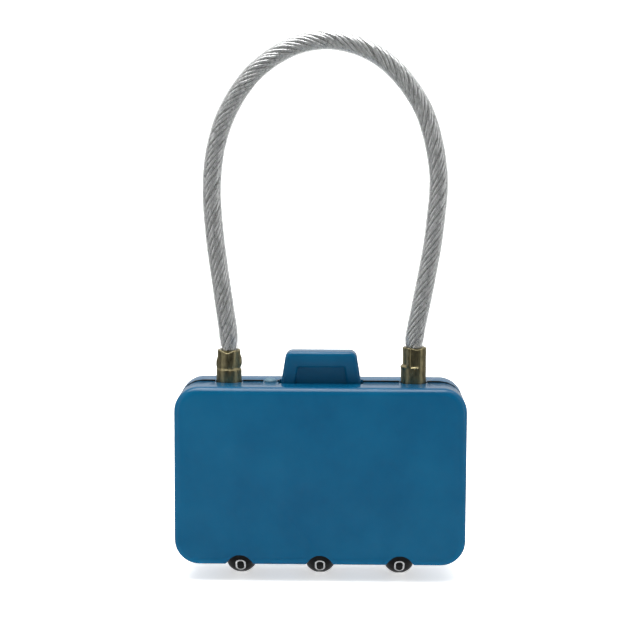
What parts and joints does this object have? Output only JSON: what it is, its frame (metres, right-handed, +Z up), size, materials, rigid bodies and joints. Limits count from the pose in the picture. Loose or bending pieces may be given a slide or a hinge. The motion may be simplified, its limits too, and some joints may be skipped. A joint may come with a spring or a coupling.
{
  "type": "combination cable padlock",
  "caption": "Small suitcase-shaped combination padlock with number dials along its base, a coated wire-rope shackle and a handle-shaped release.",
  "frame": {"origin": "on the centre line, midway between the front and rear faces, at the height of the dials' lowest point", "axes": "+X to the right seen from the front, +Y out of the rear face, +Z up towards the cable loop"},
  "size_m": [0.042, 0.013, 0.079],
  "materials": {
    "painted_zinc": "gloss blue enamel on die-cast zinc",
    "moulded_nylon": "black moulded nylon",
    "dial_plastic": "black moulded dial with white digits",
    "reset_plastic": "grey-blue moulded plastic",
    "bright_steel": "bright turned steel",
    "spring_steel": "drawn spring steel",
    "plated_ferrule": "antique bronze plating",
    "cam_brass": "turned brass",
    "rope_steel": "stranded galvanised steel",
    "clear_coat": "clear PVC coat"
  },
  "bodies": {
    "root": {"front_shell": "painted_zinc", "rear_shell": "painted_zinc", "chassis": "moulded_nylon", "spindle": "bright_steel", "spindle_spacer_1": "bright_steel", "spindle_spacer_2": "bright_steel", "spindle_spacer_3": "bright_steel", "spindle_spring": "spring_steel", "detent_spring": "spring_steel", "handle_spring_left": "spring_steel", "handle_spring_right": "spring_steel", "retaining_clip": "spring_steel", "ejector_spring": "spring_steel", "captive_ferrule": "plated_ferrule", "captive_tail": "bright_steel", "captive_cross_pin": "bright_steel", "cable_rope": "rope_steel", "cable_coat": "clear_coat", "reset_spring": "spring_steel", "case_rivet_1": "bright_steel", "case_rivet_2": "bright_steel", "case_rivet_3": "bright_steel", "case_rivet_4": "bright_steel"},
    "dial_1": {"dial_1": "dial_plastic", "cam_sleeve_1": "cam_brass"},
    "dial_2": {"dial_2": "dial_plastic", "cam_sleeve_2": "cam_brass"},
    "dial_3": {"dial_3": "dial_plastic", "cam_sleeve_3": "cam_brass"},
    "handle": {"release_handle": "painted_zinc", "latch_plate": "spring_steel", "latch_screw": "bright_steel"},
    "free_end": {"free_ferrule": "plated_ferrule", "free_tail": "bright_steel"},
    "reset": {"reset_button": "reset_plastic"}
  },
  "joints": [
    {"name": "dial_1_turn", "type": "hinge", "parent": "root", "child": "dial_1", "pos_m": [-0.01155, 0, 0.0053], "axis": [1, 0, 0], "continuous": true},
    {"name": "dial_2_turn", "type": "hinge", "parent": "root", "child": "dial_2", "pos_m": [0, 0, 0.0053], "axis": [1, 0, 0], "continuous": true},
    {"name": "dial_3_turn", "type": "hinge", "parent": "root", "child": "dial_3", "pos_m": [0.01155, 0, 0.0053], "axis": [1, 0, 0], "continuous": true},
    {"name": "handle_press", "type": "slide", "parent": "root", "child": "handle", "axis": [0, 0, -1], "range_m": [0, 0.002], "stiffness_N_per_m": 300, "springref_m": -0.003, "deforming": ["handle_spring_left", "handle_spring_right", "retaining_clip"]},
    {"name": "free_end_pull", "type": "slide", "parent": "root", "child": "free_end", "axis": [0, 0, 1], "range_m": [0, 0.012], "deforming": ["cable_rope", "cable_coat", "ejector_spring", "retaining_clip"]},
    {"name": "reset_press", "type": "slide", "parent": "root", "child": "reset", "axis": [0, 0, -1], "range_m": [0, 0.0008], "stiffness_N_per_m": 300, "springref_m": -0.002, "deforming": ["reset_spring"]}
  ]
}
